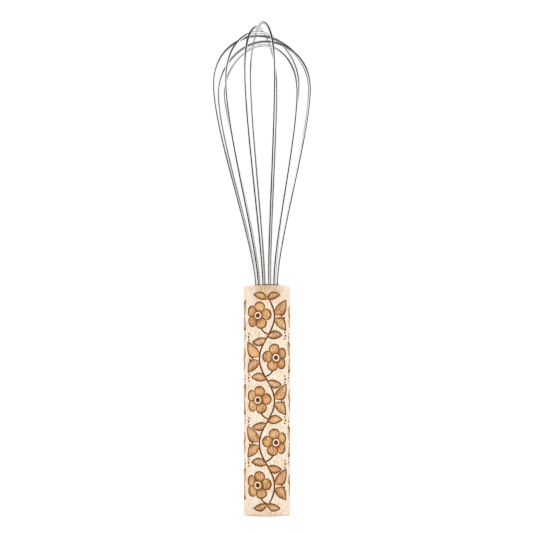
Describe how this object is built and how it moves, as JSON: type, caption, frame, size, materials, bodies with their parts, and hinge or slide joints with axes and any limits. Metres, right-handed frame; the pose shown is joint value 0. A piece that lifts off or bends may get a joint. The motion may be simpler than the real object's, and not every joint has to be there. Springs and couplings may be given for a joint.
{
  "type": "balloon whisk",
  "caption": "Balloon whisk: nested loops of spring wire fixed in the end of a plain turned wooden handle, for beating air into food.",
  "frame": {"origin": "centre of the handle's flat base face", "axes": "+Z along the handle towards the wire head, -Y towards the viewer of the picture, +X to that viewer's right"},
  "size_m": [0.0602, 0.059, 0.3],
  "materials": {
    "handle_wood": "pale beech, fine sanded, engraved",
    "core_wood": "plain beech",
    "resin": "set resin, slightly glossy",
    "spring_wire": "drawn stainless wire, polished"
  },
  "bodies": {
    "root": {"handle": "handle_wood", "core_plug": "core_wood", "resin_seal": "resin", "wire_loop_1": "spring_wire", "wire_loop_2": "spring_wire", "wire_loop_3": "spring_wire", "wire_loop_4": "spring_wire", "wire_loop_5": "spring_wire", "wire_loop_6": "spring_wire"}
  },
  "joints": []
}
